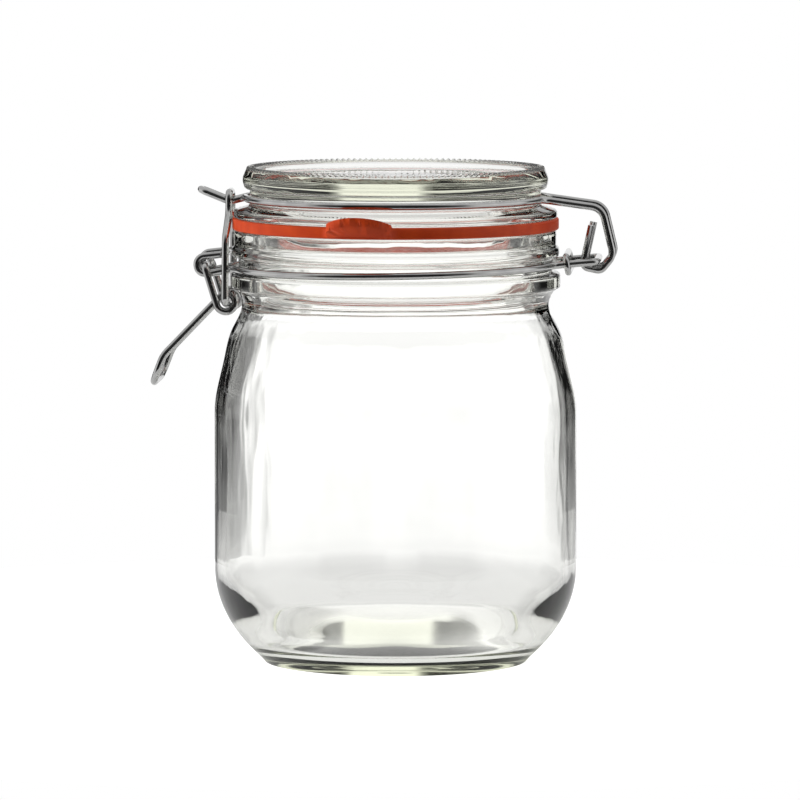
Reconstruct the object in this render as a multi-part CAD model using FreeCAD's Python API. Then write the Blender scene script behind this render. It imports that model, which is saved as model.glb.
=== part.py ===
"""A clip-top glass preserving jar: jar, glass lid, rubber gasket, neck wire with its
hinge pin and closing link, lid wire, lever and bail.

Millimetres, +Z up. The origin is the centre of the jar's foot, on the jar's axis.
The lid hinges at +X and the clasp closes it at -X.
"""
import FreeCAD
import Part
import math
import os

from FreeCAD import Base

Vector = Base.Vector

# ---- driving sizes -------------------------------------------------------------
# body of the jar, from the foot up
FOOT_RADIUS = 38.5
FOOT_EDGE = 1.2               # how far the lower curve starts outside the foot
FOOT_EDGE_HEIGHT = 1.4
HEEL_SHARE = 0.58             # how far out the lower curve is at the heel's height
HEEL_HEIGHT = 9.2
LOWER_CURVE_HEIGHT = 27.0     # from the foot to the straight side
BODY_RADIUS = 53.0            # widest part, straight
STRAIGHT_HEIGHT = 46.0
SHOULDER_HEIGHT = 36.6        # from the straight side to the collar
SHOULDER_CURVE = ((0.426, 0.654), (0.667, 0.358))  # shares of its height and width
NECK_DROP = 4.6               # the narrowest part of the neck is this far below the collar
WALL = 3.0                    # glass of the wall
BASE_THICKNESS = 5.5          # glass under the inside's lowest ring
PUNT_SHARE = 0.6              # radius of the base's raised middle, as a share of the inside
PUNT_RISE = 3.0
PUNT_HOLLOW = 1.2             # hollow under the foot, inside its bearing ring
BEARING_RING = 4.0            # width of the ring the jar stands on
INNER_HEEL = 5.91             # from the inside's heel in to its floor

# finish of the jar: mouth, rim, bead, groove for the wire, collar
MOUTH_RADIUS = 41.4
RIM_WIDTH = 5.6
RIM_HEIGHT = 5.4
BEAD_STEP = 0.9               # the bead stands out this far from the rim
BEAD_HEIGHT = 2.9
GROOVE_DEPTH = 1.1            # the groove lies this far in from the rim
GROOVE_HEIGHT = 4.4
COLLAR_STEP = 1.2
COLLAR_HEIGHT = 4.3
NECK_INSET = 2.1              # the neck lies this far in from the rim
EDGE_ROUND = 0.7              # rounded edges of the pressed glass

# gasket
GASKET_THICKNESS = 3.3
GASKET_OVERHANG = 0.7         # beyond the rim
GASKET_INNER_STEP = 1.1       # from the mouth to the gasket's inner edge
GASKET_SEAT_GAP = 0.05        # free height left at each face of the gasket
GASKET_EDGE_ROUND = 0.5
TAB_WIDTH = 19.0
TAB_REACH = 8.6
TAB_ROOT = 1.2                # how deep the tab reaches into the ring
TAB_THICKNESS = 2.6
TAB_LIFT = 24.0               # degrees that the pull tab is bent up
TAB_ANGLE = 257.0             # degrees round the axis from +X

# lid
FLANGE_INSET = 0.45           # the flange's edge lies this far in from the gasket's
FLANGE_THICKNESS = 2.7
LID_GROOVE_DEPTH = 4.7        # in from the flange's edge
LID_GROOVE_HEIGHT = 5.0
LID_DISC_HEIGHT = 5.9         # of the disc above the groove
LID_DISC_INSET = 2.4          # the disc's edge, in from the flange's
LID_RIM_WIDTH = 2.3           # flat ring round the recess, on top
LID_BEVEL = 1.35              # between that ring and the disc's edge
LID_BEVEL_HEIGHT = 3.2
LID_HEIGHT = 14.6             # from the flange's seat to the top
RECESS_DEPTH = 2.2
RECESS_SLOPE = 2.4
PLUG_PLAY = 0.4               # between the plug and the jar's mouth
PLUG_DEPTH = 5.2              # below the flange's seat
PLUG_TAPER = 0.6              # the plug's foot is this much smaller
PLUG_WALL = 5.5               # from the plug's edge at the seat to the hollow inside it
HOLLOW_TAPER = 1.5
LID_CROWN = 5.2               # glass left over the plug's hollow
KNURL_COUNT = 150
KNURL_TOOTH = 0.5

# wires
WIRE = 2.1
RUNNING_GAP = 0.35            # between strands that pass each other
SEAT_GAP = 0.1                # between a wire and the groove it lies in
NECK_WIRE_SLOPE = 0.016       # the ring rises towards the hinge
LID_WIRE_RISE = 2.1           # of the lid wire's centre above the groove's lower edge
STRAND_CORNER = 3.5           # bend where a ring turns into a strand
RING_START = 18.0             # degrees from the clasp or hinge line where the ring ends
LID_RING_START = 9.0
HEADED_END = 0.8              # how far a wire's end stands through its eye

# clasp, seen from the side: how far its points stand outside the collar, and how high
# they are above the neck wire, or for the bail's top and the tongue above the lid wire
PIVOT_OUT, PIVOT_UP = 6.8, 0.2
LINK_OUT, LINK_UP = 0.7, -10.5
CROSSBAR_OUT, CROSSBAR_UP = 1.15, 3.5
GRIP_BEND_OUT, GRIP_BEND_UP = 18.7, -25.8
GRIP_TIP_OUT, GRIP_TIP_UP = 21.8, -33.9
VALLEY_OUT, VALLEY_UP = 0.2, -1.2
TONGUE_TIP_OUT, TONGUE_TIP_UP = 8.7, 2.2
BAIL_PLAY = 0.55              # free height between the bail and the tongue's valley
EYE_PLAY = 0.3                # between a pivot wire and the eye round it
CURL_PLAY = 0.6
EYE_HALF_SPACING = 8.5        # the eyes' distance from the clasp's middle plane
GRIP_HALF_WIDTH = 13.4
GRIP_ROUND = 8.0
GRIP_CORNER = 5.0
TONGUE_PLAY = 0.2             # between the tongue and the bail's narrow top, each side
BAIL_NARROW = 5.75            # height of that part
BAIL_TAPER = 7.0              # height over which its legs spread
TONGUE_HALF = 2.3             # half width of the lid wire's tongue

# hinge, seen from the side, measured outwards and upwards from the pin
PIN_OUT, PIN_UP = 10.9, 1.9
PIN_HALF = 10.5               # distance of the strands from the hinge's middle plane
CLOSING_LINK_OUT = 2.4
CLOSING_LINK_WIRE = 1.8
CLOSING_LINK_HALF_HEIGHT = 2.4
CLOSING_LINK_TILT = 9.0
ARM_BEND_OUT, ARM_BEND_DROP = 1.5, 2.4             # the drop is from the lid wire
ARM_SIDE_OUT, ARM_SIDE_UP = 2.7, 1.6               # out from a wire's width
HOOK_OUT, HOOK_UP = 1.2, -0.7                      # down from a wire's width
HOOK_END_OUT, HOOK_END_UP = -4.1, 0.4              # up from that
CUT_END_OUT, CUT_END_UP = -1.5, 10.4

# ---- what follows from them ----------------------------------------------------
RIM_RADIUS = MOUTH_RADIUS + RIM_WIDTH
BEAD_RADIUS = RIM_RADIUS + BEAD_STEP
GROOVE_RADIUS = RIM_RADIUS - GROOVE_DEPTH
COLLAR_RADIUS = RIM_RADIUS + COLLAR_STEP
NECK_RADIUS = RIM_RADIUS - NECK_INSET

BODY_LOW_Z = LOWER_CURVE_HEIGHT
BODY_HIGH_Z = BODY_LOW_Z + STRAIGHT_HEIGHT
COLLAR_LOW_Z = BODY_HIGH_Z + SHOULDER_HEIGHT
NECK_Z = COLLAR_LOW_Z - NECK_DROP
COLLAR_HIGH_Z = COLLAR_LOW_Z + COLLAR_HEIGHT
BEAD_LOW_Z = COLLAR_HIGH_Z + GROOVE_HEIGHT
BEAD_HIGH_Z = BEAD_LOW_Z + BEAD_HEIGHT
RIM_Z = BEAD_HIGH_Z + RIM_HEIGHT

GASKET_RADIUS = RIM_RADIUS + GASKET_OVERHANG
GASKET_INNER_RADIUS = MOUTH_RADIUS + GASKET_INNER_STEP
LID_SEAT_Z = RIM_Z + GASKET_THICKNESS + 2 * GASKET_SEAT_GAP
LID_TOP_Z = LID_SEAT_Z + LID_HEIGHT
LID_FLANGE_RADIUS = GASKET_RADIUS - FLANGE_INSET
LID_GROOVE_RADIUS = LID_FLANGE_RADIUS - LID_GROOVE_DEPTH
LID_GROOVE_HIGH_Z = LID_TOP_Z - LID_DISC_HEIGHT
LID_GROOVE_LOW_Z = LID_GROOVE_HIGH_Z - LID_GROOVE_HEIGHT
LID_TOP_RADIUS = LID_FLANGE_RADIUS - LID_DISC_INSET
LID_FACE_RADIUS = LID_TOP_RADIUS - LID_BEVEL
LID_RECESS_RADIUS = LID_FACE_RADIUS - LID_RIM_WIDTH
PLUG_RADIUS = MOUTH_RADIUS - PLUG_PLAY

NECK_WIRE_RADIUS = GROOVE_RADIUS + SEAT_GAP + WIRE / 2
NECK_WIRE_Z = COLLAR_HIGH_Z + GROOVE_HEIGHT / 2
LID_WIRE_RADIUS = LID_GROOVE_RADIUS + SEAT_GAP + WIRE / 2
LID_WIRE_Z = LID_GROOVE_LOW_Z + LID_WIRE_RISE

PIVOT_X, PIVOT_Z = -COLLAR_RADIUS - PIVOT_OUT, NECK_WIRE_Z + PIVOT_UP
LINK_X, LINK_Z = -COLLAR_RADIUS - LINK_OUT, NECK_WIRE_Z + LINK_UP
CROSSBAR_X, CROSSBAR_Z = -COLLAR_RADIUS - CROSSBAR_OUT, NECK_WIRE_Z + CROSSBAR_UP
GRIP_BEND_X, GRIP_BEND_Z = -COLLAR_RADIUS - GRIP_BEND_OUT, NECK_WIRE_Z + GRIP_BEND_UP
GRIP_TIP_X, GRIP_TIP_Z = -COLLAR_RADIUS - GRIP_TIP_OUT, NECK_WIRE_Z + GRIP_TIP_UP
VALLEY_X, VALLEY_Z = -COLLAR_RADIUS - VALLEY_OUT, LID_WIRE_Z + VALLEY_UP
TONGUE_TIP_X, TONGUE_TIP_Z = -COLLAR_RADIUS - TONGUE_TIP_OUT, LID_WIRE_Z + TONGUE_TIP_UP
BAIL_TOP_X, BAIL_TOP_Z = VALLEY_X, VALLEY_Z + WIRE + BAIL_PLAY
EYE_BEND = WIRE + EYE_PLAY    # centreline radius of the neck wire's eye
LEVER_CURL = WIRE + CURL_PLAY
LEVER_HALF = EYE_HALF_SPACING + WIRE + RUNNING_GAP
GRIP_HALF_ROOT = LEVER_HALF - WIRE - RUNNING_GAP / 2
BAIL_HALF = LEVER_HALF + WIRE + RUNNING_GAP
BAIL_HALF_TOP = TONGUE_HALF + WIRE + TONGUE_PLAY
BAIL_NARROW_Z = BAIL_TOP_Z - BAIL_NARROW
BAIL_BEND_Z = BAIL_NARROW_Z - BAIL_TAPER

PIN_X, PIN_Z = COLLAR_RADIUS + PIN_OUT, NECK_WIRE_Z + PIN_UP
ARM_HALF = PIN_HALF - WIRE - RUNNING_GAP
CLOSING_LINK_X = COLLAR_RADIUS + CLOSING_LINK_OUT
ARM_BEND_X, ARM_BEND_Z = PIN_X + ARM_BEND_OUT, LID_WIRE_Z - ARM_BEND_DROP
ARM_SIDE_X, ARM_SIDE_Z = PIN_X + WIRE + ARM_SIDE_OUT, PIN_Z + ARM_SIDE_UP
HOOK_X, HOOK_Z = PIN_X + HOOK_OUT, PIN_Z - WIRE + HOOK_UP
HOOK_END_X, HOOK_END_Z = PIN_X + HOOK_END_OUT, PIN_Z - WIRE + HOOK_END_UP
CUT_END_X, CUT_END_Z = PIN_X + CUT_END_OUT, PIN_Z + CUT_END_UP
AXIS = Vector(0, 0, 1)
CENTRE = Vector(0, 0, 0)


# ---- helpers -------------------------------------------------------------------
def polar(radius, degrees, z=0.0):
    """A point at this radius and angle round the jar's axis."""
    turn = math.radians(degrees)
    return Vector(radius * math.cos(turn), radius * math.sin(turn), z)


def in_profile(radius, z):
    """A point of a half section, in the XZ plane."""
    return Vector(radius, 0, z)


def smooth_from(points, first, last):
    """A smooth edge that leaves and arrives along the two given directions."""
    spline = Part.BSplineCurve()
    spline.interpolate(
        [in_profile(*p) for p in points],
        InitialTangent=Vector(first[0], 0, first[1]),
        FinalTangent=Vector(last[0], 0, last[1]),
    )
    return spline.toShape()


def straight(start, end):
    """A straight edge of a half section."""
    return Part.LineSegment(in_profile(*start), in_profile(*end)).toShape()


def turned(edges):
    """The solid of revolution that closed half section edges make."""
    wire = Part.Wire(Part.__sortEdges__(edges))
    return Part.Face(wire).revolve(CENTRE, AXIS, 360)


def rounded_section(points, rounds):
    """Edges of a closed half section whose named corners are rounded.

    points are (radius, z) pairs and rounds maps a point's number to its radius.
    """
    count = len(points)
    corners = [in_profile(*p) for p in points]
    leave, arrive, arcs = {}, {}, []
    for i, corner in enumerate(corners):
        radius = rounds.get(i, 0)
        if not radius:
            leave[i] = arrive[i] = corner
            continue
        arrive[i], middle, leave[i] = bend(
            corners[i - 1], corner, corners[(i + 1) % count], radius
        )
        arcs.append(Part.Arc(arrive[i], middle, leave[i]).toShape())
    sides = []
    for i in range(count):
        start, end = leave[i], arrive[(i + 1) % count]
        if start.distanceToPoint(end) > 1e-6:
            sides.append(Part.LineSegment(start, end).toShape())
    return sides + arcs


def bend(before, corner, after, radius):
    """The start, middle and end of the arc that rounds a corner."""
    back = (before - corner).normalize()
    ahead = (after - corner).normalize()
    half = back.getAngle(ahead) / 2
    reach = radius / math.tan(half)
    inward = (back + ahead).normalize()
    middle = corner + inward * (radius / math.sin(half) - radius)
    return corner + back * reach, middle, corner + ahead * reach


def wire_path(points, radii):
    """A path of straight runs joined by tangent arcs, one radius for each inner point."""
    edges, start = [], points[0]
    for before, corner, after, radius in zip(points, points[1:], points[2:], radii):
        arrive, middle, leave = bend(before, corner, after, radius)
        if start.distanceToPoint(arrive) > 1e-5:
            edges.append(Part.LineSegment(start, arrive).toShape())
        edges.append(Part.Arc(arrive, middle, leave).toShape())
        start = leave
    edges.append(Part.LineSegment(start, points[-1]).toShape())
    return Part.Wire(edges)


def bent_wire(points, radii, diameter=WIRE):
    """Round wire bent along the points."""
    path = wire_path(points, radii)
    section = Part.Circle(points[0], points[1] - points[0], diameter / 2).toShape()
    solid = path.makePipeShell([Part.Wire(section)], True, False)
    return Part.Solid(Part.Shell(solid.Faces)) if solid.ShapeType != "Solid" else solid


def ring_corners(radius, start, end, count, height):
    """Corners of the polygon round a ring's arc, each to be rounded to the ring's radius.

    start and end are angles round the axis, and height gives z at an x.
    """
    step = (end - start) / count
    reach = radius / math.cos(math.radians(step / 2))
    corners = [polar(reach, start + step * (i + 0.5)) for i in range(count)]
    return [Vector(c.x, c.y, height(c.x)) for c in corners]


def ring_exit(radius, angle, y):
    """x where the ring's tangent at this angle crosses a line of constant y."""
    touch = polar(radius, angle)
    along = polar(1, angle + 90)
    return touch.x + along.x * (y - touch.y) / along.y


def mirrored(points):
    """The same points on the other side of the middle plane, in reverse order."""
    return [Vector(p.x, -p.y, p.z) for p in reversed(points)]


# ---- jar -----------------------------------------------------------------------
def heel(inset=0.0):
    """The point a third of the way round the lower curve, moved in by inset."""
    return FOOT_RADIUS + (BODY_RADIUS - FOOT_RADIUS) * HEEL_SHARE - inset, HEEL_HEIGHT


def shoulder(inset=0.0):
    """Points from the top of the straight side to the neck, moved in by inset."""
    points = [(BODY_RADIUS, BODY_HIGH_Z)]
    for up, out in SHOULDER_CURVE:
        radius = NECK_RADIUS + (BODY_RADIUS - NECK_RADIUS) * out
        points.append((radius, BODY_HIGH_Z + SHOULDER_HEIGHT * up))
    points.append((NECK_RADIUS, NECK_Z))
    return [(radius - inset, z) for radius, z in points]


def jar_outside():
    """Half section of the outside, filled to the axis."""
    low, high = (BODY_RADIUS, BODY_LOW_Z), (BODY_RADIUS, BODY_HIGH_Z)
    foot = (FOOT_RADIUS, 0)
    foot_edge = (FOOT_RADIUS + FOOT_EDGE, FOOT_EDGE_HEIGHT)
    collar_low = (COLLAR_RADIUS - EDGE_ROUND, COLLAR_LOW_Z)
    lower = smooth_from([foot_edge, heel(), low], (1, 0.9), (0, 1))
    upper = smooth_from([*shoulder(), collar_low], (0, 1), (1, 0.55))
    finish = [
        collar_low,
        (COLLAR_RADIUS, COLLAR_LOW_Z + EDGE_ROUND),
        (COLLAR_RADIUS, COLLAR_HIGH_Z - EDGE_ROUND / 2),
        (COLLAR_RADIUS - EDGE_ROUND, COLLAR_HIGH_Z),
        (GROOVE_RADIUS, COLLAR_HIGH_Z + EDGE_ROUND / 2),
        (GROOVE_RADIUS, BEAD_LOW_Z),
        (BEAD_RADIUS, BEAD_LOW_Z + EDGE_ROUND),
        (BEAD_RADIUS, BEAD_HIGH_Z - EDGE_ROUND / 2),
        (RIM_RADIUS, BEAD_HIGH_Z + EDGE_ROUND / 2),
        (RIM_RADIUS, RIM_Z - EDGE_ROUND),
        (RIM_RADIUS - EDGE_ROUND, RIM_Z),
        (0, RIM_Z),
        (0, 0),
        foot,
        foot_edge,
    ]
    sides = [straight(a, b) for a, b in zip(finish, finish[1:])]
    return turned([lower, straight(low, high), upper] + sides)


def jar_inside():
    """The space inside the glass, up through the mouth."""
    inside = BODY_RADIUS - WALL
    low, high = (inside, BODY_LOW_Z), (inside, BODY_HIGH_Z)
    heel_radius, heel_z = heel(WALL)
    floor_z = BASE_THICKNESS
    floor_radius = heel_radius - INNER_HEEL
    punt = inside * PUNT_SHARE
    bore_low = (MOUTH_RADIUS, COLLAR_LOW_Z)
    floor = smooth_from(
        [
            (0, floor_z + PUNT_RISE),
            (punt * 0.5, floor_z + PUNT_RISE * 0.86),
            (punt, floor_z + PUNT_RISE * 0.12),
            (floor_radius, floor_z + 0.6),
            (heel_radius - 0.2, heel_z + 3.6),
            low,
        ],
        (1, 0),
        (0, 1),
    )
    upper = smooth_from([*shoulder(WALL), bore_low], (0, 1), (0, 1))
    top = RIM_Z + 1
    sides = [
        straight(low, high),
        straight(bore_low, (MOUTH_RADIUS, RIM_Z - EDGE_ROUND)),
        straight((MOUTH_RADIUS, RIM_Z - EDGE_ROUND), (MOUTH_RADIUS + EDGE_ROUND, RIM_Z)),
        straight((MOUTH_RADIUS + EDGE_ROUND, RIM_Z), (MOUTH_RADIUS + EDGE_ROUND, top)),
        straight((MOUTH_RADIUS + EDGE_ROUND, top), (0, top)),
        straight((0, top), (0, floor_z + PUNT_RISE)),
    ]
    return turned([floor, upper] + sides)


def foot_hollow():
    """The shallow hollow under the foot, inside the ring that the jar stands on."""
    radius = FOOT_RADIUS - BEARING_RING
    dome = smooth_from([(radius, 0), (radius * 0.5, PUNT_HOLLOW * 0.8), (0, PUNT_HOLLOW)],
                       (-1, 0.12), (-1, 0))
    sides = [
        straight((0, PUNT_HOLLOW), (0, -1)),
        straight((0, -1), (radius, -1)),
        straight((radius, -1), (radius, 0)),
    ]
    return turned([dome] + sides)


def jar():
    return jar_outside().cut(jar_inside()).cut(foot_hollow())


# ---- gasket and lid ------------------------------------------------------------
def gasket_tab():
    """The pull tab, a rounded flap bent up from the gasket's edge."""
    half = TAB_WIDTH / 2
    root = GASKET_RADIUS - TAB_ROOT
    reach = TAB_REACH + TAB_ROOT
    low = Vector(0, -half, 0)
    high = Vector(0, half, 0)
    shoulder = reach * 0.45
    outline = [
        Part.LineSegment(high, low).toShape(),
        Part.LineSegment(low, Vector(shoulder, -half, 0)).toShape(),
        Part.Arc(
            Vector(shoulder, -half, 0), Vector(reach, 0, 0), Vector(shoulder, half, 0)
        ).toShape(),
        Part.LineSegment(Vector(shoulder, half, 0), high).toShape(),
    ]
    flap = Part.Face(Part.Wire(outline)).extrude(Vector(0, 0, TAB_THICKNESS))
    flap.rotate(CENTRE, Vector(0, 1, 0), -TAB_LIFT)
    flap.translate(Vector(root, 0, RIM_Z + GASKET_SEAT_GAP + 0.25))
    flap.rotate(CENTRE, AXIS, TAB_ANGLE)
    return flap


def gasket():
    low = RIM_Z + GASKET_SEAT_GAP
    high = low + GASKET_THICKNESS
    section = rounded_section(
        [
            (GASKET_INNER_RADIUS, low),
            (GASKET_RADIUS, low),
            (GASKET_RADIUS, high),
            (GASKET_INNER_RADIUS, high),
        ],
        {i: GASKET_EDGE_ROUND for i in range(4)},
    )
    keep_out = Part.makeCylinder(LID_FLANGE_RADIUS + 0.2, 20, Vector(0, 0, high))
    return turned(section).fuse(gasket_tab().cut(keep_out)).removeSplitter()


def knurl():
    """One tooth of the knurled ring on the lid's top edge."""
    tooth = Part.makeCone(KNURL_TOOTH, KNURL_TOOTH * 0.35, KNURL_TOOTH)
    ring = (LID_RECESS_RADIUS + LID_FACE_RADIUS) / 2
    tooth.translate(polar(ring, 0, LID_TOP_Z - KNURL_TOOTH * 0.15))
    return tooth


def lid():
    seat, top = LID_SEAT_Z, LID_TOP_Z
    flange_top = seat + FLANGE_THICKNESS
    recess = top - RECESS_DEPTH
    crown = recess - LID_CROWN
    outline = [
        (0, recess),
        (LID_RECESS_RADIUS - RECESS_SLOPE, recess),
        (LID_RECESS_RADIUS, top),
        (LID_FACE_RADIUS, top),
        (LID_TOP_RADIUS, top - LID_BEVEL_HEIGHT),
        (LID_TOP_RADIUS - 0.7, LID_GROOVE_HIGH_Z),
        (LID_GROOVE_RADIUS, LID_GROOVE_HIGH_Z - 0.3),
        (LID_GROOVE_RADIUS, LID_GROOVE_LOW_Z),
        (LID_FLANGE_RADIUS, flange_top - 0.4),
        (LID_FLANGE_RADIUS, seat),
        (PLUG_RADIUS, seat),
        (PLUG_RADIUS - PLUG_TAPER, seat - PLUG_DEPTH),
        (PLUG_RADIUS - PLUG_WALL, seat - PLUG_DEPTH),
        (PLUG_RADIUS - PLUG_WALL - HOLLOW_TAPER, crown - HOLLOW_TAPER),
        (0, crown),
    ]
    rounds = {1: 1.5, 2: 0.6, 3: 0.8, 4: 1.6, 5: 0.6, 6: 0.8, 7: 0.9, 8: 1.1, 9: 0.7,
              10: 0.5, 11: 1.0, 12: 1.0, 13: 3.0}
    body = turned(rounded_section(outline, rounds))
    step = 360.0 / KNURL_COUNT
    teeth = []
    for i in range(KNURL_COUNT):
        tooth = knurl()
        tooth.rotate(CENTRE, AXIS, i * step)
        teeth.append(tooth)
    return body.fuse(teeth)


# ---- wires of the neck and the hinge -------------------------------------------
def neck_height(x):
    """z of the neck wire's sloping ring at this x."""
    return NECK_WIRE_Z + NECK_WIRE_SLOPE * x


def strand_height(x):
    """z of the strands between the ring and the hinge pin."""
    start = NECK_WIRE_RADIUS
    share = (x - start) / (PIN_X - start)
    return neck_height(start) + (PIN_Z - neck_height(start)) * share


def neck_wire():
    """Hinge pin, two strands, the ring in two halves, two eyes and their crossbar."""
    radius = NECK_WIRE_RADIUS
    front, back = 180.0 + RING_START, 360.0 - RING_START
    back_x = ring_exit(radius, back, -PIN_HALF)
    front_x = ring_exit(radius, front, -EYE_HALF_SPACING)
    half_ring = ring_corners(radius, back, front, 3, neck_height)
    side = [
        Vector(PIN_X, -PIN_HALF, PIN_Z),
        Vector(back_x, -PIN_HALF, strand_height(back_x)),
        *half_ring,
        Vector(front_x, -EYE_HALF_SPACING, neck_height(front_x)),
        Vector(PIVOT_X + EYE_BEND * 0.55, -EYE_HALF_SPACING, PIVOT_Z - EYE_BEND),
        Vector(PIVOT_X - EYE_BEND, -EYE_HALF_SPACING, PIVOT_Z - EYE_BEND),
        Vector(PIVOT_X - EYE_BEND, -EYE_HALF_SPACING, PIVOT_Z + EYE_BEND),
        Vector(CROSSBAR_X, -EYE_HALF_SPACING, CROSSBAR_Z),
    ]
    tight = EYE_BEND * 0.97
    bends = [WIRE * 0.8, STRAND_CORNER, radius, radius, radius, STRAND_CORNER,
             WIRE * 0.9, tight, tight, WIRE * 0.8]
    middle = Vector(PIN_X, 0, PIN_Z)
    points = [middle, *side, *mirrored(side), middle]
    return bent_wire(points, bends + bends[::-1])


def closing_link():
    """The oval link that holds the two strands together beside the neck."""
    z = strand_height(CLOSING_LINK_X)
    half = CLOSING_LINK_HALF_HEIGHT
    y = PIN_HALF + (WIRE + CLOSING_LINK_WIRE) / 2 + SEAT_GAP
    start = Vector(CLOSING_LINK_X, 0, z + half)
    corners = [
        start,
        Vector(CLOSING_LINK_X, y, z + half),
        Vector(CLOSING_LINK_X, y, z - half),
        Vector(CLOSING_LINK_X, -y, z - half),
        Vector(CLOSING_LINK_X, -y, z + half),
        start,
    ]
    link = bent_wire(corners, [half * 0.97] * 4, CLOSING_LINK_WIRE)
    link.rotate(Vector(CLOSING_LINK_X, 0, z), Vector(0, 1, 0), -CLOSING_LINK_TILT)
    return link


def lid_wire():
    """Tongue, ring in two halves, two hinge arms hooked under the pin, cut ends up."""
    radius = LID_WIRE_RADIUS
    level = lambda x: LID_WIRE_Z
    front = 180.0 + LID_RING_START
    back = 360.0 - RING_START + 2
    front_x = ring_exit(radius, front, -TONGUE_HALF)
    back_x = ring_exit(radius, back, -ARM_HALF)
    tip = Vector(TONGUE_TIP_X, -TONGUE_HALF, TONGUE_TIP_Z)
    side = [
        tip,
        Vector(VALLEY_X, -TONGUE_HALF, VALLEY_Z),
        Vector(front_x, -TONGUE_HALF, LID_WIRE_Z),
        *ring_corners(radius, front, back, 3, level),
        Vector(back_x, -ARM_HALF, LID_WIRE_Z),
        Vector(ARM_BEND_X, -ARM_HALF, ARM_BEND_Z),
        Vector(ARM_SIDE_X, -ARM_HALF, ARM_SIDE_Z),
        Vector(HOOK_X, -ARM_HALF, HOOK_Z),
        Vector(HOOK_END_X, -ARM_HALF, HOOK_END_Z),
        Vector(CUT_END_X, -ARM_HALF, CUT_END_Z),
    ]
    bends = [TONGUE_HALF * 0.97, 4.0, 2.0, radius, radius, radius, STRAND_CORNER,
             4.5, 4.0, 2.0, 1.6]
    points = mirrored(side) + side
    return bent_wire(points, bends[::-1] + bends)


# ---- clasp ---------------------------------------------------------------------
def curl_corners(x, z, radius, start, turn, count, y_from, y_to):
    """Corners round a curl about (x, z), for a wire that arrives heading at start degrees.

    Headings are in the XZ plane from +X towards +Z, and the curl turns towards +Z.
    """
    step = turn / count
    reach = radius / math.cos(math.radians(step / 2))
    corners = []
    for i in range(count):
        side = math.radians(start - 90 + step * (i + 0.5))
        share = (i + 0.5) / count
        corners.append(
            Vector(
                x + reach * math.cos(side),
                y_from + (y_to - y_from) * share,
                z + reach * math.sin(side),
            )
        )
    return corners


def heading(from_x, from_z, to_x, to_z):
    """The direction from one point to another in the XZ plane, in degrees."""
    return math.degrees(math.atan2(to_z - from_z, to_x - from_x))


def tangent_heading(x, z, radius):
    """Heading from a pivot at (x, z) to the left side of the lever's curl."""
    along = heading(x, z, LINK_X, LINK_Z)
    reach = math.hypot(LINK_X - x, LINK_Z - z)
    return along - math.degrees(math.asin(radius / reach))


def lever():
    """Two ends in the neck wire's eyes, two arms, two curls and the grip."""
    arm = tangent_heading(PIVOT_X, PIVOT_Z, LEVER_CURL)
    from_grip = heading(GRIP_BEND_X, GRIP_BEND_Z, LINK_X, LINK_Z)
    reach = math.hypot(GRIP_BEND_X - LINK_X, GRIP_BEND_Z - LINK_Z)
    grip = from_grip + 180 - math.degrees(math.asin(LEVER_CURL / reach))
    turn = (grip - arm) % 360
    curl = curl_corners(
        LINK_X, LINK_Z, LEVER_CURL, arm, turn, 5, -LEVER_HALF, -GRIP_HALF_ROOT
    )
    side = [
        Vector(PIVOT_X, -EYE_HALF_SPACING + WIRE / 2 + HEADED_END, PIVOT_Z),
        Vector(PIVOT_X, -LEVER_HALF, PIVOT_Z),
        *curl,
        Vector(GRIP_BEND_X, -GRIP_HALF_WIDTH, GRIP_BEND_Z),
        Vector(GRIP_TIP_X, -GRIP_HALF_WIDTH, GRIP_TIP_Z),
    ]
    curl_bends = [LEVER_CURL * 0.96] * len(curl)
    bends = [WIRE * 0.8, *curl_bends, GRIP_ROUND, GRIP_CORNER]
    points = side + mirrored(side)
    return bent_wire(points, bends + bends[::-1])


def bail():
    """Narrow arch over the tongue, legs that spread to the lever's curls."""
    side = [
        Vector(LINK_X, -GRIP_HALF_ROOT + WIRE / 2 + HEADED_END, LINK_Z),
        Vector(LINK_X, -BAIL_HALF, LINK_Z),
        Vector((LINK_X + BAIL_TOP_X) / 2, -BAIL_HALF, BAIL_BEND_Z),
        Vector(BAIL_TOP_X, -BAIL_HALF_TOP, BAIL_NARROW_Z),
        Vector(BAIL_TOP_X, -BAIL_HALF_TOP, BAIL_TOP_Z),
    ]
    bends = [WIRE * 0.8, 5.0, 4.0, 2.0]
    points = side + mirrored(side)
    return bent_wire(points, bends + bends[::-1])


# ---- output --------------------------------------------------------------------
NODES = {
    "jar": jar,
    "neck_wire": neck_wire,
    "closing_link": closing_link,
    "lid": lid,
    "gasket": gasket,
    "lid_wire": lid_wire,
    "lever": lever,
    "bail": bail,
}

os.makedirs("parts", exist_ok=True)
for name, make in NODES.items():
    shape = make()
    if len(shape.Solids) != 1 or not shape.isValid():
        raise ValueError(f"{name} isn't one valid solid")
    shape.Solids[0].exportStep(f"parts/{name}.step")
    box = shape.BoundBox
    print(
        f"{name}: {shape.Volume:.0f} mm3, x {box.XMin:.2f} to {box.XMax:.2f},"
        f" y {box.YMin:.2f} to {box.YMax:.2f}, z {box.ZMin:.2f} to {box.ZMax:.2f}"
    )
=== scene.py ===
"""A clip-top preserving jar: clear glass jar and lid, rubber gasket and bright steel wires.

Metres, +Z up. The origin is the centre of the jar's foot. The lid hinges at +X and the
clasp closes it at -X.
"""
import math

import bpy
import numpy as np
from mathutils import Matrix, Vector

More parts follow.
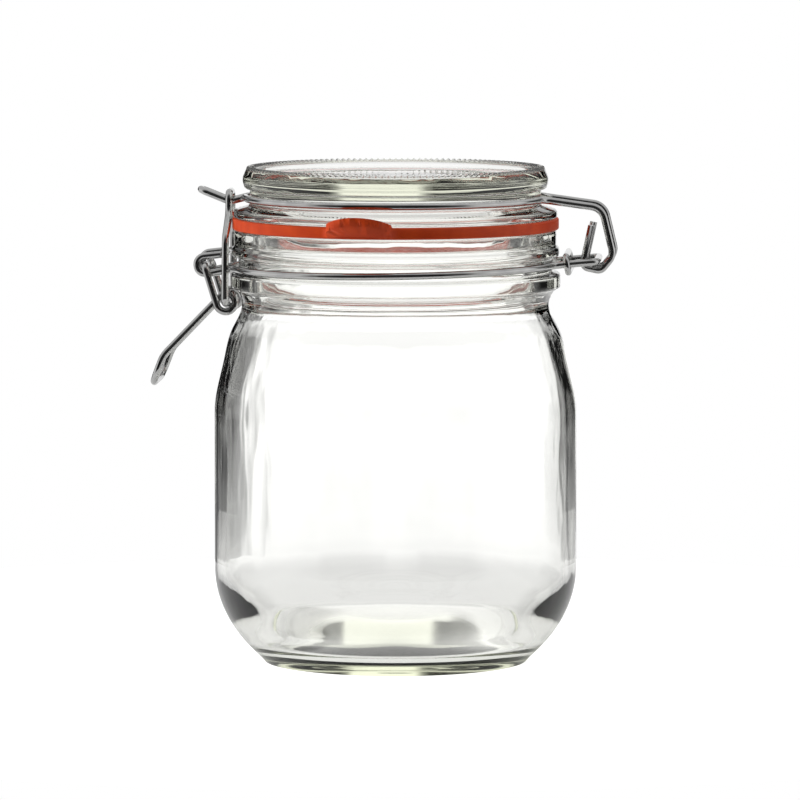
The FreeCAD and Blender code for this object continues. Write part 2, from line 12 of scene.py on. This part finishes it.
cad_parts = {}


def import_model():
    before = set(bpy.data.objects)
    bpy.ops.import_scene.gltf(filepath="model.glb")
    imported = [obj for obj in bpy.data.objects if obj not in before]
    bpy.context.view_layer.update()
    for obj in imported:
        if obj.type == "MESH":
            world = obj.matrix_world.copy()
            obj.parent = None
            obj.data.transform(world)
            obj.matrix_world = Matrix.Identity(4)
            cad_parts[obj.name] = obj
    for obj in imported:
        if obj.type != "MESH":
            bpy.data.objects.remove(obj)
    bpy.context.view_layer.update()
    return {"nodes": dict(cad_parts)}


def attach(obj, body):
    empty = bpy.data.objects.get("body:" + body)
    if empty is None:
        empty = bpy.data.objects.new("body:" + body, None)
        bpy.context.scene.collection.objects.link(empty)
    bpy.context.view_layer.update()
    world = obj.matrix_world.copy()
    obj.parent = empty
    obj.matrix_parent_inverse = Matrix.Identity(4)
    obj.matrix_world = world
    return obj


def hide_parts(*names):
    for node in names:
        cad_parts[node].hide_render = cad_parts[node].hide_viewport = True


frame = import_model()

MM = 0.001

# ---- sizes, in millimetres, as in the CAD model ----------------------------------
FOOT_RADIUS, FOOT_EDGE_RADIUS, HEEL_RADIUS = 38.5, 39.7, 46.9
BODY_RADIUS, NECK_RADIUS = 53.0, 44.9
LOWER_SHOULDER_RADIUS, UPPER_SHOULDER_RADIUS = 50.2, 47.8
FOOT_EDGE_Z, HEEL_Z, BODY_LOW_Z, BODY_HIGH_Z = 1.4, 9.2, 27.0, 73.0
LOWER_SHOULDER_Z, UPPER_SHOULDER_Z, NECK_Z = 88.6, 97.4, 105.0
COLLAR_RADIUS, GROOVE_RADIUS, BEAD_RADIUS = 48.2, 45.9, 47.9
RIM_RADIUS, MOUTH_RADIUS = 47.0, 41.4
COLLAR_LOW_Z, COLLAR_HIGH_Z = 109.6, 113.9
BEAD_LOW_Z, BEAD_HIGH_Z, RIM_Z = 118.3, 121.2, 126.6
WALL, BASE_THICKNESS = 3.0, 5.5
PUNT_RADIUS, PUNT_RISE, PUNT_HOLLOW = 30.0, 3.0, 1.2
BEARING_RING, INNER_FLOOR_RADIUS = 4.0, 38.0
LID_SEAT_Z, LID_TOP_Z = 130.0, 144.6
FLANGE_RADIUS, FLANGE_THICKNESS = 47.25, 2.7
LID_GROOVE_RADIUS, LID_TOP_RADIUS, LID_FACE_RADIUS = 42.55, 44.85, 43.5
LID_GROOVE_LOW_Z, LID_GROOVE_HIGH_Z = 133.7, 138.7
RECESS_RADIUS, RECESS_DEPTH, RECESS_SLOPE, LID_CROWN = 41.2, 2.2, 2.4, 5.2
LID_BEVEL, LID_SIDE_TAPER, LID_GROOVE_SLOPE = 3.2, 0.7, 0.3
PLUG_RADIUS = 41.0
TOOTH_COUNT = 150

# ---- sizes, in millimetres, that are the scene's own -----------------------------
PLUG_DEPTH, PLUG_TAPER, PLUG_FOOT, PLUG_WALL = 8.5, 1.4, 3.0, 7.0    # deeper than in the CAD
TOOTH_HEIGHT, LID_EDGE_DROP, FLANGE_SLOPE = 0.42, 0.1, 0.4
COLLAR_EDGE, GROOVE_SLOPE, BEAD_SLOPE = 0.7, 0.4, 0.7
INNER_FLOOR_LIFT, INNER_HEEL_IN, INNER_HEEL_UP = 0.6, 0.2, 3.6
HOLLOW_MIDDLE, PUNT_MIDDLE, PUNT_FOOT = 0.8, 0.86, 0.12     # shares of the hollow and the rise
TAB_TURN, TAB_ROOT_RADIUS, TAB_REACH = 4.3, 48.5, 0.86      # degrees, radius and share
CALM_LOW_Z, CALM_HIGH_Z = 12.0, 45.0                        # the glass's waves fade in between

# ---- directions of (radius, z) lines, and how finely shapes are divided ----------
LEVEL, UPRIGHT = (1, 0), (0, 1)
HOLLOW_END, FOOT_FLARE, COLLAR_FLARE = (1, -0.12), (1, 0.9), (1, 0.55)
CURVE_SPACING, HOLLOW_SPACING, SIDE_SPACING = 1.4, 3.0, 4.0          # millimetres
JAR_STEPS = 192
LID_STEPS = 4 * TOOTH_COUNT
LATHE_MERGE, COPY_MERGE = 0.00001, 0.000002                          # metres
LATHE_CREASE, COPY_CREASE = math.radians(40), math.radians(35)


# ---- outlines and meshes -----------------------------------------------------------
def select_only(obj):
    """This object is selected and active, and nothing else is."""
    bpy.ops.object.select_all(action="DESELECT")
    obj.select_set(True)
    bpy.context.view_layer.objects.active = obj


def rounded(corners, steps=5):
    """Points of an outline from corners (radius, z, reach), each eased over its reach."""
    points = []
    for i, (r, z, reach) in enumerate(corners):
        corner = Vector((r, z))
        if not reach:
            points.append(corner)
            continue
        before = Vector(corners[i - 1][:2]) - corner
        after = Vector(corners[i + 1][:2]) - corner
        start = corner + before.normalized() * reach
        end = corner + after.normalized() * reach
        for k in range(steps + 1):
            t = k / steps
            points.append(start * (1 - t) ** 2 + corner * 2 * t * (1 - t) + end * t * t)
    return points


def flowing(points, first, last, spacing=CURVE_SPACING):
    """Points along a smooth line through the given ones, with its end directions given."""
    spots = np.array(points, float)
    gaps = np.linalg.norm(np.diff(spots, axis=0), axis=1)
    slopes = np.diff(spots, axis=0) / gaps[:, None]
    count = len(spots)
    system, sides = np.eye(count), np.zeros((count, 2))
    sides[0] = np.array(first) / np.linalg.norm(first)
    sides[-1] = np.array(last) / np.linalg.norm(last)
    for i in range(1, count - 1):
        before, after = gaps[i - 1], gaps[i]
        system[i, i - 1:i + 2] = after, 2 * (before + after), before
        sides[i] = 3 * (after * slopes[i - 1] + before * slopes[i])
    headings = np.linalg.solve(system, sides)
    line = []
    for i, gap in enumerate(gaps):
        steps = max(2, round(gap / spacing))
        for k in range(steps + (i == count - 2)):
            t = k / steps
            line.append(
                (2 * t ** 3 - 3 * t ** 2 + 1) * spots[i]
                + (t ** 3 - 2 * t ** 2 + t) * gap * headings[i]
                + (3 * t ** 2 - 2 * t ** 3) * spots[i + 1]
                + (t ** 3 - t ** 2) * gap * headings[i + 1]
            )
    return line


def lathe(name, outline, steps):
    """Spins an outline of (radius, z) points in millimetres once round the jar's axis."""
    points = [Vector((p[0], 0, p[1])) * MM for p in outline]
    bpy.ops.object.select_all(action="DESELECT")
    bpy.ops.mesh.primitive_plane_add(size=MM, location=(0, 0, 0))
    obj = bpy.context.object
    obj.name = obj.data.name = name
    bpy.ops.object.mode_set(mode="EDIT")
    bpy.ops.mesh.select_all(action="SELECT")
    bpy.ops.mesh.merge(type="CENTER")
    bpy.ops.transform.translate(value=points[0])
    for start, end in zip(points, points[1:]):
        bpy.ops.mesh.extrude_region_move(TRANSFORM_OT_translate={"value": end - start})
    bpy.ops.mesh.select_all(action="SELECT")
    bpy.ops.mesh.spin(steps=steps, angle=math.tau, center=(0, 0, 0), axis=(0, 0, 1))
    bpy.ops.mesh.select_all(action="SELECT")
    bpy.ops.mesh.remove_doubles(threshold=LATHE_MERGE)
    bpy.ops.mesh.normals_make_consistent(inside=False)
    bpy.ops.object.mode_set(mode="OBJECT")
    select_only(obj)
    bpy.ops.object.shade_smooth_by_angle(angle=LATHE_CREASE)
    return obj


def smooth_copy(node, name):
    """A merged and smoothly shaded piece with a CAD node's own shape."""
    source = frame["nodes"][node]
    mesh = source.data.copy()
    mesh.materials.clear()
    obj = bpy.data.objects.new(name, mesh)
    bpy.context.scene.collection.objects.link(obj)
    select_only(obj)
    bpy.ops.object.mode_set(mode="EDIT")
    bpy.ops.mesh.select_all(action="SELECT")
    bpy.ops.mesh.remove_doubles(threshold=COPY_MERGE)
    bpy.ops.object.mode_set(mode="OBJECT")
    bpy.ops.object.shade_smooth_by_angle(angle=COPY_CREASE)
    return obj


# ---- shader nodes ------------------------------------------------------------------
def grey(level):
    """A neutral colour, from 0 for black to 1 for white."""
    return (level, level, level)


def add(tree, kind, **settings):
    """A new shader node of this kind, with its settings."""
    node = tree.nodes.new("ShaderNode" + kind)
    for name, value in settings.items():
        setattr(node, name, value)
    return node


def feed(tree, socket, value):
    """Links another node's output into a socket, or sets the socket to a plain value."""
    if isinstance(value, bpy.types.NodeSocket):
        tree.links.new(value, socket)
    else:
        socket.default_value = value


def new_material(name):
    """A node material with its Principled shader."""
    material = bpy.data.materials.new(name)
    material.use_nodes = True
    return material, material.node_tree, material.node_tree.nodes["Principled BSDF"]


def coordinates(tree, scale=(1, 1, 1)):
    """Object coordinates through a Mapping node with this scale."""
    mapping = add(tree, "Mapping")
    mapping.inputs["Scale"].default_value = scale
    tree.links.new(add(tree, "TexCoord").outputs["Object"], mapping.inputs["Vector"])
    return mapping.outputs["Vector"]


def split(tree, vector):
    """A vector's X, Y and Z."""
    node = add(tree, "SeparateXYZ")
    tree.links.new(vector, node.inputs["Vector"])
    return node.outputs["X"], node.outputs["Y"], node.outputs["Z"]


def noise(tree, scale, detail, stretch=(1, 1, 1)):
    """A noise texture's value on Object coordinates."""
    node = add(tree, "TexNoise")
    node.inputs["Scale"].default_value = scale
    node.inputs["Detail"].default_value = detail
    tree.links.new(coordinates(tree, stretch), node.inputs["Vector"])
    return node.outputs["Fac"]


def bump(tree, height, strength, distance):
    """A normal from a height, with the distance in metres."""
    node = add(tree, "Bump")
    node.inputs["Strength"].default_value = strength
    node.inputs["Distance"].default_value = distance
    tree.links.new(height, node.inputs["Height"])
    return node.outputs["Normal"]


def ramp(tree, factor, *stops):
    """A colour ramp through (place, colour) stops."""
    node = add(tree, "ValToRGB")
    tree.links.new(factor, node.inputs["Fac"])
    while len(node.color_ramp.elements) < len(stops):
        node.color_ramp.elements.new(1.0)
    for element, (place, colour) in zip(node.color_ramp.elements, stops):
        element.position = place
        element.color = (*colour, 1.0)
    return node.outputs["Color"]


def calculate(tree, operation, first, second=0.0, clamp=False):
    """One step of arithmetic."""
    node = add(tree, "Math", operation=operation, use_clamp=clamp)
    feed(tree, node.inputs[0], first)
    feed(tree, node.inputs[1], second)
    return node.outputs[0]


def ranged(tree, value, low, high, to_low=0.0, to_high=1.0):
    """A value carried from one range to another, and held at its ends."""
    node = add(tree, "MapRange")
    node.inputs["From Min"].default_value = low
    node.inputs["From Max"].default_value = high
    node.inputs["To Min"].default_value = to_low
    node.inputs["To Max"].default_value = to_high
    tree.links.new(value, node.inputs["Value"])
    return node.outputs["Result"]


def mix_colours(tree, factor, first, second, blend="MIX"):
    """Two colours mixed or multiplied. This node's colour sockets are found by number."""
    node = add(tree, "Mix", data_type="RGBA", blend_type=blend)
    feed(tree, node.inputs[0], factor)
    feed(tree, node.inputs[6], first)
    feed(tree, node.inputs[7], second)
    return node.outputs[2]


def mix_shaders(tree, factor, first, second):
    """The first shader where the factor is 0, and the second where it is 1."""
    node = add(tree, "MixShader")
    tree.links.new(factor, node.inputs["Fac"])
    tree.links.new(first, node.inputs[1])
    tree.links.new(second, node.inputs[2])
    return node.outputs["Shader"]


def emission(tree, colour, strength):
    """A plain glow."""
    node = add(tree, "Emission")
    feed(tree, node.inputs["Color"], colour)
    node.inputs["Strength"].default_value = strength
    return node.outputs["Emission"]


# ---- materials ---------------------------------------------------------------------
WAVE_SCALE, WAVE_DETAIL, WAVE_STRETCH = 90.0, 1.5, (1, 1, 0.22)
GLASS_BEND = 1.5              # refractive index
GLASS_SHADOW = (0.93, 0.94, 0.91, 1)
JAR_TINT, JAR_DENSITY, JAR_WAVES = (0.86, 0.88, 0.70), 20.0, 0.30
LID_TINT, LID_DENSITY, LID_WAVES = (0.86, 0.87, 0.78), 24.0, 0.15

MOTTLE_SCALE, MOTTLE_DETAIL = 160.0, 4.0
RUBBER_DEEP, RUBBER_BRIGHT = (0.54, 0.045, 0.006), (0.68, 0.072, 0.010)
RUBBER_ROUGHNESS, RUBBER_GLOSS = 0.5, 0.22
GRAIN_SCALE, GRAIN_DETAIL, GRAIN_STRENGTH, GRAIN_HEIGHT = 1400.0, 3.0, 0.25, 0.0001

WEAR_SCALE, WEAR_DETAIL = 220.0, 4.0
STEEL_DULL, STEEL_BRIGHT = (0.42, 0.42, 0.42), (0.54, 0.54, 0.53)
STEEL_SMOOTHEST, STEEL_ROUGHEST = 0.08, 0.18
PATCH_LOW, PATCH_HIGH = 0.3, 0.7        # where a noise turns from its first colour to its last


def glass(name, tint, density, waves):
    """Clear pressed glass, tinted where it is thick, with slow waves in its walls."""
    material, tree, shader = new_material(name)
    shader.inputs["Base Color"].default_value = (1.0, 1.0, 1.0, 1)
    shader.inputs["Roughness"].default_value = 0.0
    shader.inputs["IOR"].default_value = GLASS_BEND
    shader.inputs["Transmission Weight"].default_value = 1.0
    slow = noise(tree, WAVE_SCALE, WAVE_DETAIL, WAVE_STRETCH)
    height = split(tree, coordinates(tree))[2]
    above_base = ranged(tree, height, CALM_LOW_Z * MM, CALM_HIGH_Z * MM)
    faded = calculate(tree, "MULTIPLY", slow, above_base)
    tree.links.new(bump(tree, faded, 1.0, waves * MM), shader.inputs["Normal"])
    absorb = add(tree, "VolumeAbsorption")
    absorb.inputs["Color"].default_value = (*tint, 1)
    absorb.inputs["Density"].default_value = density
    clear = add(tree, "BsdfTransparent")
    clear.inputs["Color"].default_value = GLASS_SHADOW
    shadow_ray = add(tree, "LightPath").outputs["Is Shadow Ray"]
    surface = mix_shaders(tree, shadow_ray, shader.outputs["BSDF"], clear.outputs["BSDF"])
    output = tree.nodes["Material Output"]
    tree.links.new(surface, output.inputs["Surface"])
    tree.links.new(absorb.outputs["Volume"], output.inputs["Volume"])
    return material


def rubber():
    """Soft natural rubber, orange-red, a little mottled and matt."""
    material, tree, shader = new_material("gasket_rubber")
    mottle = noise(tree, MOTTLE_SCALE, MOTTLE_DETAIL)
    colour = ramp(tree, mottle, (PATCH_LOW, RUBBER_DEEP), (PATCH_HIGH, RUBBER_BRIGHT))
    tree.links.new(colour, shader.inputs["Base Color"])
    shader.inputs["Roughness"].default_value = RUBBER_ROUGHNESS
    shader.inputs["Specular IOR Level"].default_value = RUBBER_GLOSS
    grain = noise(tree, GRAIN_SCALE, GRAIN_DETAIL)
    tree.links.new(bump(tree, grain, GRAIN_STRENGTH, GRAIN_HEIGHT), shader.inputs["Normal"])
    return material


def steel():
    """Bright drawn steel wire with faint patches of wear."""
    material, tree, shader = new_material("wire_steel")
    wear = noise(tree, WEAR_SCALE, WEAR_DETAIL)
    shade = ramp(tree, wear, (PATCH_LOW, STEEL_DULL), (PATCH_HIGH, STEEL_BRIGHT))
    tree.links.new(shade, shader.inputs["Base Color"])
    shader.inputs["Metallic"].default_value = 1.0
    rough = ranged(tree, wear, 0.0, 1.0, STEEL_SMOOTHEST, STEEL_ROUGHEST)
    tree.links.new(rough, shader.inputs["Roughness"])
    return material


# ---- pieces ------------------------------------------------------------------------
WIRES = {"neck_wire": "jar", "closing_link": "jar", "lid_wire": "lid", "lever": "lever",
         "bail": "bail"}
TOOTH_BAND = 0.5              # millimetres below the lid's top that still belong to its edge
TOOTH_MATCH = 0.1             # share of a tooth's pitch


def shoulder(inset=0.0):
    """Points from the top of the straight side to the neck, moved in by inset."""
    points = [
        (BODY_RADIUS, BODY_HIGH_Z),
        (LOWER_SHOULDER_RADIUS, LOWER_SHOULDER_Z),
        (UPPER_SHOULDER_RADIUS, UPPER_SHOULDER_Z),
        (NECK_RADIUS, NECK_Z),
    ]
    return [(radius - inset, z) for radius, z in points]


def jar_outside():
    """The jar's outside, from under its foot up over the rim and into the mouth."""
    bearing = FOOT_RADIUS - BEARING_RING
    collar_foot = (COLLAR_RADIUS - COLLAR_EDGE, COLLAR_LOW_Z)
    hollow = flowing(
        [(0, PUNT_HOLLOW), (bearing / 2, PUNT_HOLLOW * HOLLOW_MIDDLE), (bearing, 0)],
        LEVEL, HOLLOW_END, HOLLOW_SPACING,
    )
    lower = flowing(
        [(FOOT_EDGE_RADIUS, FOOT_EDGE_Z), (HEEL_RADIUS, HEEL_Z), (BODY_RADIUS, BODY_LOW_Z)],
        FOOT_FLARE, UPRIGHT,
    )
    side = flowing(
        [(BODY_RADIUS, BODY_LOW_Z), (BODY_RADIUS, BODY_HIGH_Z)], UPRIGHT, UPRIGHT, SIDE_SPACING
    )
    upper = flowing([*shoulder(), collar_foot], UPRIGHT, COLLAR_FLARE)
    finish = rounded([
        (*collar_foot, 0),
        (COLLAR_RADIUS, COLLAR_LOW_Z, COLLAR_EDGE),
        (COLLAR_RADIUS, COLLAR_HIGH_Z, 0.9),
        (GROOVE_RADIUS, COLLAR_HIGH_Z + GROOVE_SLOPE, 0.6),
        (GROOVE_RADIUS, BEAD_LOW_Z, 0.5),
        (BEAD_RADIUS, BEAD_LOW_Z + BEAD_SLOPE, 0.7),
        (BEAD_RADIUS, BEAD_HIGH_Z, 0.7),
        (RIM_RADIUS, BEAD_HIGH_Z + BEAD_SLOPE, 0.6),
        (RIM_RADIUS, RIM_Z, 0.9),
        (MOUTH_RADIUS, RIM_Z, 0.9),
        (MOUTH_RADIUS, COLLAR_LOW_Z, 0),
    ])
    return hollow + [(FOOT_RADIUS, 0)] + lower + side[1:] + upper[1:] + finish[1:]


def jar_inside():
    """The jar's inside, from the middle of its floor up to just under the mouth."""
    inside = BODY_RADIUS - WALL
    bottom = flowing(
        [
            (0, BASE_THICKNESS + PUNT_RISE),
            (PUNT_RADIUS / 2, BASE_THICKNESS + PUNT_RISE * PUNT_MIDDLE),
            (PUNT_RADIUS, BASE_THICKNESS + PUNT_RISE * PUNT_FOOT),
            (INNER_FLOOR_RADIUS, BASE_THICKNESS + INNER_FLOOR_LIFT),
            (HEEL_RADIUS - WALL - INNER_HEEL_IN, HEEL_Z + INNER_HEEL_UP),
            (inside, BODY_LOW_Z),
        ],
        LEVEL, UPRIGHT,
    )
    side = flowing([(inside, BODY_LOW_Z), (inside, BODY_HIGH_Z)], UPRIGHT, UPRIGHT, SIDE_SPACING)
    upper = flowing([*shoulder(WALL), (MOUTH_RADIUS, COLLAR_LOW_Z)], UPRIGHT, UPRIGHT)
    return bottom + side[1:] + upper[1:-1]


def lid_outline():
    """The closed section of the lid's glass, from the recess over the rim to the plug."""
    seat, top = LID_SEAT_Z, LID_TOP_Z
    recess, edge = top - RECESS_DEPTH, top - LID_EDGE_DROP
    crown, plug_z = recess - LID_CROWN, seat - PLUG_DEPTH
    plug_side = PLUG_RADIUS - PLUG_TAPER
    return rounded([
        (0, recess, 0),
        (RECESS_RADIUS - RECESS_SLOPE, recess, 1.5),
        (RECESS_RADIUS, edge, 0.5),
        (LID_FACE_RADIUS, edge, 0.6),
        (LID_TOP_RADIUS, top - LID_BEVEL, 1.2),
        (LID_TOP_RADIUS - LID_SIDE_TAPER, LID_GROOVE_HIGH_Z, 0.5),
        (LID_GROOVE_RADIUS, LID_GROOVE_HIGH_Z - LID_GROOVE_SLOPE, 0.6),
        (LID_GROOVE_RADIUS, LID_GROOVE_LOW_Z, 0.8),
        (FLANGE_RADIUS, seat + FLANGE_THICKNESS - FLANGE_SLOPE, 0.9),
        (FLANGE_RADIUS, seat, 0.6),
        (PLUG_RADIUS, seat, 0.4),
        (plug_side, plug_z, 1.0),
        (plug_side - PLUG_FOOT, plug_z, 1.0),
        (PLUG_RADIUS - PLUG_WALL, crown, 3.0),
        (0, crown, 0),
    ], steps=4)


def raise_teeth(lid):
    """Lifts every fourth line of points on the lid's top edge into a ring of small teeth."""
    step = math.tau / TOOTH_COUNT
    for vertex in lid.data.vertices:
        radius = math.hypot(vertex.co.x, vertex.co.y) / MM
        turn = math.atan2(vertex.co.y, vertex.co.x) / step
        on_edge = RECESS_RADIUS < radius < LID_FACE_RADIUS
        high = vertex.co.z / MM > LID_TOP_Z - TOOTH_BAND
        if on_edge and high and abs(turn - round(turn)) < TOOTH_MATCH:
            vertex.co.z += TOOTH_HEIGHT * MM


def turn_tab(ring):
    """Turns the ring a little in its seat and trims its tab to stay in the jar's reach."""
    ring.data.transform(Matrix.Rotation(math.radians(TAB_TURN), 4, "Z"))
    root = TAB_ROOT_RADIUS * MM
    for vertex in ring.data.vertices:
        radius = math.hypot(vertex.co.x, vertex.co.y)
        if radius > root:
            trimmed = root + (radius - root) * TAB_REACH
            vertex.co.x *= trimmed / radius
            vertex.co.y *= trimmed / radius


def dress(obj, material, body, slot, *nodes):
    """Gives a piece its material and body, and hides the CAD nodes that it stands for. The slot
    is not used.
    """
    obj.data.materials.clear()
    obj.data.materials.append(material)
    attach(obj, body)
    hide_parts(*nodes)


jar_glass = glass("jar_glass", JAR_TINT, JAR_DENSITY, JAR_WAVES)
lid_glass = glass("lid_glass", LID_TINT, LID_DENSITY, LID_WAVES)
gasket_rubber = rubber()
wire_steel = steel()

jar = lathe("jar_shell", jar_outside() + jar_inside()[::-1], JAR_STEPS)
dress(jar, jar_glass, "jar", "jar_glass", "jar")
lid = lathe("lid_disc", lid_outline(), LID_STEPS)
raise_teeth(lid)
dress(lid, lid_glass, "lid", "lid_glass", "lid")
gasket = smooth_copy("gasket", "gasket_ring")
turn_tab(gasket)
dress(gasket, gasket_rubber, "lid", "gasket_rubber", "gasket")
for node, body in WIRES.items():
    dress(smooth_copy(node, node + "_steel"), wire_steel, body, "wire", node)


# ---- floor and room ----------------------------------------------------------------
WHITE, BLACK = grey(1), grey(0)
THROUGH_GLASS = 1.3           # makes up for what the glass's four faces reflect

FLOOR_REACH, FLOOR_SIDES = 0.26, 128       # metres, how far the table runs round the jar
PAINTED_SHADE_NEAR, PAINTED_SHADE_FAR = (0.15, grey(0.62)), (FLOOR_REACH, grey(0.81))   # reach and grey of a painted shade on the table, darker near the jar, that only the glass shows
FLOOR_PAINT, FLOOR_ROUGHNESS, FLOOR_GLOW = (0.9, 0.9, 0.9, 1), 0.6, 0.75

# The room round the jar goes from the middle of its -Y and +Y walls, at 0, to the middle
# of its -X and +X walls, at 1. Narrow white walls, dark corners and wide white walls
# follow each other there.
WALLS = (
    (0.024, WHITE), (0.040, grey(0.25)), (0.056, grey(0.006)),
    (0.62, grey(0.01)), (0.70, grey(0.2)), (0.79, WHITE),
)
# Heights are the Z of a direction from the jar, 0 at the horizon and 1 straight up.
CEILING_LOW, CEILING_HIGH, CEILING = 0.15, 0.4, (*grey(0.75), 1)
HAZE_LOW, HAZE_HIGH = -0.122, -0.094       # the walls go grey towards the ground here
HAZE_GREY, HAZE_CLEAR = (0.1, grey(0.79)), (0.9, WHITE)
GROUND_LOW, GROUND_HIGH = -0.2, 0.0        # and they end in it here
GROUND_ONLY, WALLS_ONLY = (0.25, BLACK), (0.55, WHITE)
GROUND = (*grey(0.8), 1)
# How far +Y a direction points: the front of the room, at -Y, is unlit for what mirrors it.
FRONT_LOW, FRONT_HIGH = -0.75, 0.6
FRONT_DARK, FRONT_LIT = (0.0, grey(0.04)), (0.35, WHITE)


def floor():
    """A round pale table top, white to the camera. Through the glass it glows a little greyer,
    with painted shade that is darker near the jar.
    """
    bpy.ops.object.select_all(action="DESELECT")
    bpy.ops.mesh.primitive_circle_add(
        vertices=FLOOR_SIDES, radius=FLOOR_REACH, fill_type="NGON"
    )
    obj = bpy.context.object
    obj.name = "table_top"
    material, tree, shader = new_material("table_top")
    shader.inputs["Base Color"].default_value = FLOOR_PAINT
    shader.inputs["Roughness"].default_value = FLOOR_ROUGHNESS
    away = add(tree, "VectorMath", operation="LENGTH")
    tree.links.new(add(tree, "TexCoord").outputs["Object"], away.inputs[0])
    # painted shade: seen through the glass, the table glows greyer near the jar and paler
    # further out
    shade = ramp(tree, away.outputs["Value"], PAINTED_SHADE_NEAR, PAINTED_SHADE_FAR)
    through = emission(tree, shade, THROUGH_GLASS)
    lit = add(tree, "AddShader")
    tree.links.new(emission(tree, (1, 1, 1, 1), FLOOR_GLOW), lit.inputs[0])
    tree.links.new(shader.outputs["BSDF"], lit.inputs[1])
    rays = add(tree, "LightPath").outputs
    direct = mix_shaders(
        tree, rays["Is Camera Ray"], shader.outputs["BSDF"], lit.outputs["Shader"]
    )
    seen = mix_shaders(tree, rays["Is Transmission Ray"], direct, through)
    tree.links.new(seen, tree.nodes["Material Output"].inputs["Surface"])
    obj.data.materials.append(material)


def walls(tree, east, north, up):
    """White walls and dark corners, under a pale ceiling and over a grey ground."""
    azimuth = calculate(tree, "ARCTAN2", north, east)
    wave = calculate(tree, "COSINE", calculate(tree, "MULTIPLY", azimuth, 2.0))
    sides = ramp(tree, ranged(tree, wave, -1.0, 1.0), *WALLS)
    upper = ramp(tree, up, (CEILING_LOW, BLACK), (CEILING_HIGH, WHITE))
    haze = ramp(tree, ranged(tree, up, HAZE_LOW, HAZE_HIGH), HAZE_GREY, HAZE_CLEAR)
    covered = mix_colours(tree, upper, sides, CEILING)
    hazy = mix_colours(tree, 1.0, covered, haze, "MULTIPLY")
    standing = ramp(tree, ranged(tree, up, GROUND_LOW, GROUND_HIGH), GROUND_ONLY, WALLS_ONLY)
    return mix_colours(tree, standing, GROUND, hazy)


def world():
    """A white studio whose dark corners edge the glass, and whose front is unlit."""
    scene_world = bpy.data.worlds.new("studio")
    bpy.context.scene.world = scene_world
    scene_world.use_nodes = True
    tree = scene_world.node_tree
    background = tree.nodes["Background"]
    rays = add(tree, "LightPath").outputs
    through = rays["Is Transmission Ray"]
    east, north, up = split(tree, add(tree, "TexCoord").outputs["Generated"])
    room = walls(tree, east, north, up)
    front = ramp(tree, ranged(tree, north, FRONT_LOW, FRONT_HIGH), FRONT_DARK, FRONT_LIT)
    mirrored = calculate(tree, "SUBTRACT", rays["Is Glossy Ray"], through, clamp=True)
    on_pieces = calculate(tree, "MAXIMUM", mirrored, rays["Is Diffuse Ray"])
    shaded = mix_colours(tree, on_pieces, room, front, "MULTIPLY")
    seen = mix_colours(tree, rays["Is Camera Ray"], shaded, (1, 1, 1, 1))
    tree.links.new(seen, background.inputs["Color"])
    strength = ranged(tree, through, 0.0, 1.0, 1.0, THROUGH_GLASS)
    tree.links.new(strength, background.inputs["Strength"])


# ---- lamps and camera --------------------------------------------------------------
LAMP_AIM = Vector((0, 0, 0.07))
CAMERA_DISTANCE, CAMERA_HEIGHT = 2.0, 0.262
CAMERA_TURN = math.radians(3.7)
AIM_Z, AIM_SIDE = 0.0764, 0.0013
FIELD_WIDTH = 0.2342          # metres across the camera's view at the jar's axis
SENSOR = 36.0
GLASS_BOUNCES = 24


def lamp(name, place, size, power):
    """A square soft box that faces the jar's middle. Wires and glass don't show it."""
    light = bpy.data.lights.new(name, "AREA")
    light.energy = power
    light.size = size
    obj = bpy.data.objects.new(name, light)
    obj.location = place
    obj.rotation_euler = (LAMP_AIM - Vector(place)).to_track_quat("-Z", "Y").to_euler()
    obj.visible_glossy = False
    obj.visible_transmission = False
    bpy.context.scene.collection.objects.link(obj)


def camera():
    """Looks along +Y, a little from the right and from above."""
    data = bpy.data.cameras.new("camera")
    right = Vector((math.cos(CAMERA_TURN), math.sin(CAMERA_TURN), 0))
    stand = Vector((math.sin(CAMERA_TURN), -math.cos(CAMERA_TURN), 0)) * CAMERA_DISTANCE
    place = stand + right * AIM_SIDE + Vector((0, 0, CAMERA_HEIGHT))
    target = right * AIM_SIDE + Vector((0, 0, AIM_Z))
    data.sensor_width = SENSOR
    data.lens = SENSOR * (place - target).length / FIELD_WIDTH
    obj = bpy.data.objects.new("camera", data)
    obj.location = place
    obj.rotation_euler = (target - place).to_track_quat("-Z", "Y").to_euler()
    bpy.context.scene.collection.objects.link(obj)
    bpy.context.scene.camera = obj


floor()
world()
lamp("left_box", (-1.35, -0.3, 0.45), size=0.5, power=12.0)
lamp("top_box", (0.2, 0.1, 1.4), size=0.8, power=3.0)
camera()
bpy.context.scene.view_settings.view_transform = "Standard"
bpy.context.scene.cycles.max_bounces = GLASS_BOUNCES
bpy.context.scene.cycles.transmission_bounces = GLASS_BOUNCES
bpy.context.scene.cycles.transparent_max_bounces = GLASS_BOUNCES
